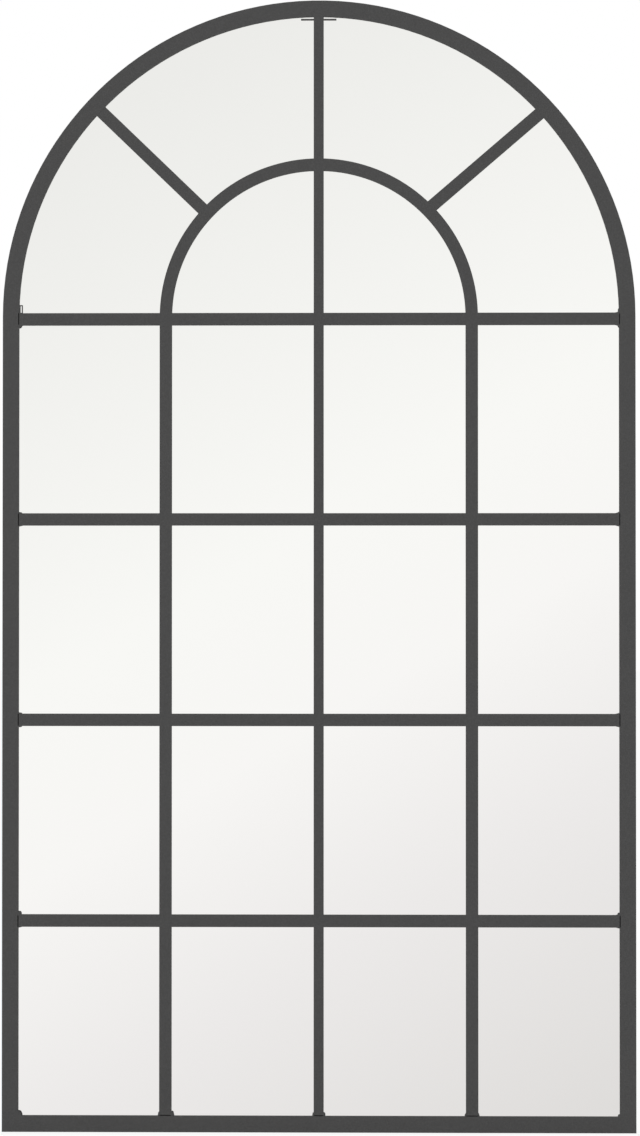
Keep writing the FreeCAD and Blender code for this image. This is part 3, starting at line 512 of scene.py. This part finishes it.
def makeTab(foot, inward):
    # a bent strip: over the board from its rounded tip, round the bend and up the rim
    thick, bend, corner = tabs["thickness"] / 2, tabs["bend"], tabs["tipCorner"]
    path = np.concatenate([
        tip((tabs["reach"], thick), (-1, 0), corner)[:-1],
        line((tabs["reach"] - corner, thick), (thick + bend, thick), tabs["step"]),
        arc((thick + bend, thick + bend), bend, 270, 180, 7),
        line((thick, thick + bend), (thick, tabs["upstand"] - corner), tabs["weldStep"]),
        tip((thick, tabs["upstand"]), (0, -1), corner)[::-1]])
    section = stripSection(tipWidths(path, tabs["width"] / 2, corner), thick, tabs["edge"])
    inward = np.array((inward[0], 0.0, inward[1]))
    wide = np.cross(inward, (0, 1, 0))
    grid = sweepStrip(path, section, foot, inward, (0, 1, 0), wide)
    # the spot weld: a shallow round dent, exp(-(r / radius)^2) deep, pressed towards the rim
    local = grid - np.array(foot)
    away = np.hypot(local @ wide, local[..., 1] - tabs["weldAt"]) / tabs["weldRadius"]
    openSide = (local @ inward > thick) & (local[..., 1] > 2 * thick)
    grid -= (tabs["weldDepth"] * np.exp(-away ** 2) * openSide)[..., None] * inward
    return grid


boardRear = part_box("backing_board")[1][1]
plateFoot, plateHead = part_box("hanger_plate_left")[0][2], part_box("hanger_plate_left")[1][2]
rim = tabs["rimInside"] - tabs["clearance"]
glassHalf, openingHalf = 496 * mm, 474 * mm         # half widths, and the radii of their arched heads
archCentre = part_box("mirror_glass")[1][2] - glassHalf
grids = []
for i in range(tabs["perStile"]):
    height = plateFoot * (i + 0.5) / tabs["perStile"]
    grids += [makeTab((side * rim, boardRear, height), (-side, 0)) for side in (-1, 1)]
for i in range(tabs["onRail"]):
    across = openingHalf * (2 * (i + 0.5) / tabs["onRail"] - 1)
    grids.append(makeTab((across, boardRear, tabs["railInside"] + tabs["clearance"]), (0, 1)))
chord = math.sqrt(tabs["rimInside"] ** 2 - (tabs["width"] / 2) ** 2) - tabs["clearance"]
for i in range(tabs["onArch"]):
    turn = math.pi * (i + 0.5) / tabs["onArch"]
    foot = (chord * math.cos(turn), boardRear, archCentre + chord * math.sin(turn))
    grids.append(makeTab(foot, (-math.cos(turn), -math.sin(turn))))
addPiece("bent_tabs", grids, "powder_coat", ["retaining_tabs"])
print("tabs made:", len(grids))

# hanger straps
strap = {
    "width": 16 * mm, "thickness": 1.5 * mm, "length": 38 * mm, "curl": 2.83 * mm,   # curl: to mid sheet
    "backBend": 1.5 * mm, "tipCorner": 2.5 * mm, "edge": 0.35 * mm, "leafGap": 0.04 * mm, "step": 3 * mm,
}


def makeStrap(side):
    # one strip, folded: up the front leaf, round the ring's wire, back under it by a reverse bend, and
    # down the rear leaf, which lies on the front one. Path in (depth, height) from the wire's centre
    thick, curl, bend = strap["thickness"] / 2, strap["curl"], strap["backBend"]
    leaf = 2 * thick - curl + strap["leafGap"]  # middle of the rear leaf
    fall = math.degrees(math.acos((leaf + bend) / (curl + bend)))   # where the curl meets the reverse bend
    centre = arc((0, 0), curl + bend, -fall, 0, 1)[0]
    foot, corner = -strap["length"], strap["tipCorner"]
    path = np.concatenate([
        tip((-curl, foot), (0, 1), corner)[:-1],
        line((-curl, foot + corner), (-curl, 0), strap["step"]),
        arc((0, 0), curl, 180, -fall, 30),
        arc(centre, bend, 180 - fall, 180, 8),
        line((leaf, centre[1]), (leaf, foot + corner), strap["step"]),
        tip((leaf, foot), (0, 1), corner)[::-1]])
    section = stripSection(tipWidths(path, strap["width"] / 2, corner), thick, strap["edge"], across=8)
    low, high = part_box(f"d_ring_{side}")
    wire = ((low[0] + high[0]) / 2, plateRear + curl + thick, pivotHeight)
    return sweepStrip(path, section, wire, (0, 1, 0), (0, 0, 1), (1, 0, 0))


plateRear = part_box("hanger_plate_left")[1][1]
wireRadius = 2 * mm
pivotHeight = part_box("d_ring_left")[1][2] - wireRadius
for side in ("left", "right"):
    addPiece(f"folded_strap_{side}", [makeStrap(side)], "zinc_steel", [f"hanger_strap_{side}"])
print("straps made")

# hanger rivets
rivet = {
    "head": 4.75 * mm, "headHeight": 1.4 * mm, "shank": 2.4 * mm, "tail": 3.6 * mm, "tailHeight": 2 * mm,
    "stack": 3 * mm, "plate": 3 * mm, "lip": 0.3 * mm, "drops": (12 * mm, 30 * mm),
    "flatTop": 2.1 * mm, "recess": 1.5 * mm, "recessDepth": 0.7 * mm, "recessTaper": 0.97,
    "mandrel": 1.2 * mm, "mandrelDepth": 0.4 * mm, "mandrelTaper": 0.92,
    "edge": 0.1 * mm,           # breaks the sharp edges of head, recess and mandrel
    "tipRadius": 0.3 * mm, "stubRadius": 0.2 * mm,      # the smallest rings, which a middle point closes
}


def makeRivet(x, z):
    # a profile of (radius, depth) turned about Y: the bulged tail, the shank, the flange with its rolled
    # lip, the dome, and the hollow in it with the end of the broken mandrel
    r = rivet
    seat, crown = r["stack"], r["stack"] + r["headHeight"]
    bulge = np.linspace(-np.pi / 2, np.pi / 2, 9)
    tail = np.stack([r["shank"] + (r["tail"] - r["shank"]) * np.cos(bulge),
                     -r["plate"] - r["tailHeight"] / 2 + r["tailHeight"] / 2 * np.sin(bulge)], axis=-1)
    dome = np.linspace(0, 1, 10)[1:]
    rise = seat + r["lip"] + (r["headHeight"] - r["lip"]) * np.sqrt(1 - (1 - dome) ** 2)
    reach = r["head"] + (r["flatTop"] - r["head"]) * dome
    floor, stub = crown - r["recessDepth"], crown - r["mandrelDepth"]
    profile = np.concatenate([
        [[r["tipRadius"], tail[0, 1]]], tail,
        [[r["shank"], seat], [r["head"] - r["edge"], seat], [r["head"], seat + r["edge"]]],
        np.stack([reach, rise], axis=-1),
        [[r["recess"], crown - r["edge"]], [r["recess"] * r["recessTaper"], floor], [r["mandrel"], floor],
         [r["mandrel"] * r["mandrelTaper"], stub], [r["stubRadius"], stub + r["edge"]]]])
    turn = np.linspace(0, 2 * np.pi, 32, endpoint=False)
    radius, depth = profile[:, :1], profile[:, 1:]
    return np.stack([x + radius * np.cos(turn), plateRear + depth + 0 * turn,
                     z + radius * np.sin(turn)], axis=-1)


grids = []
for side in ("left", "right"):
    low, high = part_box(f"hanger_strap_{side}")
    grids += [makeRivet((low[0] + high[0]) / 2, pivotHeight - drop) for drop in rivet["drops"]]
addPiece("blind_rivets", grids, "rivet_steel", ["hanger_rivets"], sharpAngle=50)
print("rivets made:", len(grids))

# weld beads inside the rim: three stitches along each plate, the mitred corners, and the arch's butts
welds = {
    "ripple": 1.6 * mm, "rippleRise": 0.1,      # from one ripple of the bead to the next, and its height
    "plateRadius": 1.9 * mm, "plateStitches": (0.16, 0.5, 0.84),    # the stitches' places up the plate
    "plateLength": 13 * mm, "plateInset": 0.3 * mm,
    "cornerRadius": 2.2 * mm, "buttRadius": 1.7 * mm, "rimInset": 0.5 * mm,
    "start": 2 * mm, "stop": -1.5 * mm,         # behind the board, and short of the wall
    "cornerHeight": 2.5 * mm,
}


def makeBead(start, end, radius):
    # a bead: circles along a straight run. Their size is sqrt(1 - |2 run - 1| ^ (length / radius)), small at
    # both ends and soon full, and it rises by a tenth and falls back at each ripple
    start, end = np.array(start, float), np.array(end, float)
    length = np.linalg.norm(end - start)
    run = np.linspace(0, 1, max(24, int(length / (welds["ripple"] / 6))))
    heading = (end - start) / length
    across = np.cross(heading, (0.3, 0.2, 0.93) if abs(heading[2]) < 0.9 else (0.0, 1.0, 0.0))
    across /= np.linalg.norm(across)
    up = np.cross(across, heading)
    swell = np.sqrt(np.clip(1 - np.abs(2 * run - 1) ** (length / radius), 0.02, 1))
    ripples = 1 + welds["rippleRise"] * (np.abs(np.sin(np.pi * run * length / welds["ripple"])) - 0.5)
    size = radius * swell * ripples
    turn = np.linspace(0, 2 * np.pi, 20, endpoint=False)
    centre = start + run[:, None] * (end - start)
    ring = np.cos(turn)[:, None] * across + np.sin(turn)[:, None] * up
    return centre[:, None, :] + size[:, None, None] * ring


beads = []
for side in (-1, 1):
    x, y = side * (tabs["rimInside"] - welds["plateInset"]), plateRear + welds["plateInset"]
    for share in welds["plateStitches"]:
        middle = plateFoot + share * (plateHead - plateFoot)
        low, high = middle - welds["plateLength"] / 2, middle + welds["plateLength"] / 2
        beads.append(makeBead((x, y, low), (x, y, high), welds["plateRadius"]))
    x, start, stop = side * (tabs["rimInside"] - welds["rimInset"]), boardRear + welds["start"], welds["stop"]
    for height, radius in ((welds["cornerHeight"], welds["cornerRadius"]), (archCentre, welds["buttRadius"])):
        beads.append(makeBead((x, start, height), (x, stop, height), radius))
addPiece("rim_welds", beads, "powder_coat", sharpAngle=70)
print("rim welds made:", len(beads))

# weld nuggets in front, small lumps where a bar's end meets the frame: the bar, the side of it or of the
# mirror, above or below it, and how far the lump reaches sideways and up or down from the corner
nuggets = {
    "front": -24.95 * mm, "rear": -22.8 * mm, "flare": 1.6 * mm, "railTop": 26 * mm,
    "shy": 0.3,                 # share of its reach that a lump stands off the bar, clear of the seam
    "transoms": (
        ("transom_4", -1, -1, 4.6 * mm, 4.4 * mm), ("transom_4", 1, 1, 1.8 * mm, 7.0 * mm),
        ("transom_4", 1, -1, 1.8 * mm, 4.5 * mm), ("transom_1", -1, 1, 5.2 * mm, 5.4 * mm),
        ("transom_1", 1, 1, 3.4 * mm, 4.0 * mm), ("transom_2", -1, 1, 5.0 * mm, 2.0 * mm),
        ("transom_2", -1, -1, 5.0 * mm, 2.0 * mm), ("transom_3", -1, 1, 4.6 * mm, 2.0 * mm),
        ("transom_3", 1, 1, 2.2 * mm, 2.2 * mm)),
    "mullions": (
        ("left_mullion_1", 1, 4.4 * mm, 7.4 * mm), ("left_mullion_1", -1, 2.2 * mm, 6.0 * mm),
        ("centre_mullion_1", 1, 2.8 * mm, 6.0 * mm), ("centre_mullion_1", -1, 2.2 * mm, 5.4 * mm),
        ("right_mullion_1", 1, 2.0 * mm, 4.4 * mm), ("right_mullion_1", -1, 2.0 * mm, 4.4 * mm)),
    "corners": ((-1, 6.4 * mm, 8.6 * mm), (1, 3.4 * mm, 3.6 * mm)),
}


def makeNugget(x, z, reach, rise, number):
    # an egg about the corner, flattened in front: its points are the corner plus the three half sizes
    # times the sphere's, with the radius swelling a little in three waves and in five
    polar = np.linspace(0.06, np.pi - 0.06, 15)[:, None]
    turn = np.linspace(0, 2 * np.pi, 28, endpoint=False)[None, :]
    swell = 1 + 0.05 * np.sin(3 * turn + 1.7 * number) + 0.035 * np.sin(5 * turn + number)
    depth = (nuggets["rear"] - nuggets["front"]) / 2
    middle = (nuggets["rear"] + nuggets["front"]) / 2
    flat = np.sign(np.cos(polar)) * np.abs(np.cos(polar)) ** 0.6
    return np.stack([x + reach * np.sin(polar) * np.cos(turn) * swell, middle + depth * flat + 0 * turn,
                     z + rise * np.sin(polar) * np.sin(turn) * swell], axis=-1)


places = []
for bar, side, above, reach, rise in nuggets["transoms"]:
    low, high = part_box(bar)
    edge = (high[2] if above > 0 else low[2]) + above * (nuggets["shy"] * rise - nuggets["flare"])
    places.append((side * openingHalf, edge, reach, rise * (1 - nuggets["shy"])))
for bar, side, reach, rise in nuggets["mullions"]:
    low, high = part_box(bar)
    edge = (high[0] if side > 0 else low[0]) + side * (nuggets["shy"] * reach - nuggets["flare"])
    places.append((edge, nuggets["railTop"], reach * (1 - nuggets["shy"]), rise))
for side, reach, rise in nuggets["corners"]:
    places.append((side * openingHalf, nuggets["railTop"], reach, rise))
lumps = [makeNugget(*place, number) for number, place in enumerate(places)]
addPiece("weld_nuggets", lumps, "powder_coat", ["corner_welds"], sharpAngle=80)
print("nuggets made:", len(lumps))
